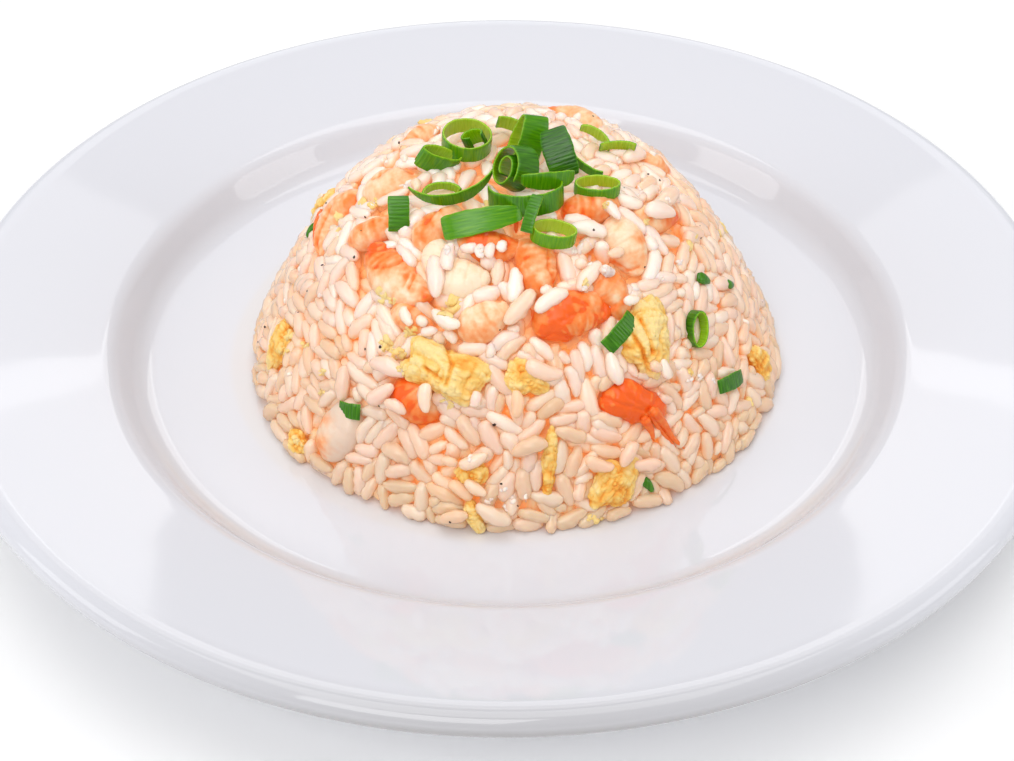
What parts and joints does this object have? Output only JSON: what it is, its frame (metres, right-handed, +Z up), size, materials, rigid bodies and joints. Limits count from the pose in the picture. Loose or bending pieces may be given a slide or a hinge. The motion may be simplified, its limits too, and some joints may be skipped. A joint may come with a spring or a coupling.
{
  "type": "fried rice",
  "caption": "Moulded dome of shrimp and egg fried rice with a garnish of sliced scallion, served in a white wide-rimmed soup plate.",
  "frame": {"origin": "centre of the foot ring, on the surface that the plate stands on", "axes": "+Z up through the middle of the plate, the side of the dome that the diner sees toward -Y, +X to the right"},
  "size_m": [0.27, 0.27, 0.0742],
  "materials": {
    "porcelain": "glazed white porcelain, glossy",
    "rice": "cooked rice, moist and slightly translucent",
    "shrimp": "cooked shrimp, moist",
    "egg": "scrambled egg, soft and slightly moist",
    "scallion": "fresh cut scallion leaf, satin"
  },
  "bodies": {
    "root": {"plate": "porcelain", "rice_heap": "rice", "shrimp_01": "shrimp", "shrimp_02": "shrimp", "shrimp_03": "shrimp", "shrimp_04": "shrimp", "shrimp_05": "shrimp", "shrimp_06": "shrimp", "shrimp_07": "shrimp", "shrimp_08": "shrimp", "shrimp_09": "shrimp", "shrimp_10": "shrimp", "shrimp_11": "shrimp", "shrimp_12": "shrimp", "shrimp_13": "shrimp", "shrimp_14": "shrimp", "shrimp_15": "shrimp", "shrimp_16": "shrimp", "shrimp_17": "shrimp", "shrimp_18": "shrimp", "shrimp_19": "shrimp", "shrimp_20": "shrimp", "shrimp_21": "shrimp", "shrimp_22": "shrimp", "egg_01": "egg", "egg_02": "egg", "egg_03": "egg", "egg_04": "egg", "egg_05": "egg", "egg_06": "egg", "egg_07": "egg", "egg_08": "egg", "egg_09": "egg", "egg_10": "egg", "egg_11": "egg", "egg_12": "egg", "egg_13": "egg", "scallion_curl": "scallion", "scallion_inner_curl": "scallion", "scallion_fold": "scallion", "scallion_hook": "scallion", "scallion_leaf": "scallion", "scallion_cone": "scallion", "scallion_loop": "scallion", "scallion_bowl": "scallion", "scallion_point": "scallion", "scallion_blade": "scallion", "scallion_back": "scallion", "scallion_sliver": "scallion", "scallion_arc": "scallion", "scallion_ring": "scallion", "scallion_ring_right": "scallion", "scallion_strip": "scallion", "scallion_crescent": "scallion", "scallion_band": "scallion", "scallion_stand": "scallion", "scallion_ring_side": "scallion", "scallion_left": "scallion", "scallion_middle": "scallion", "scallion_right": "scallion"}
  },
  "joints": []
}
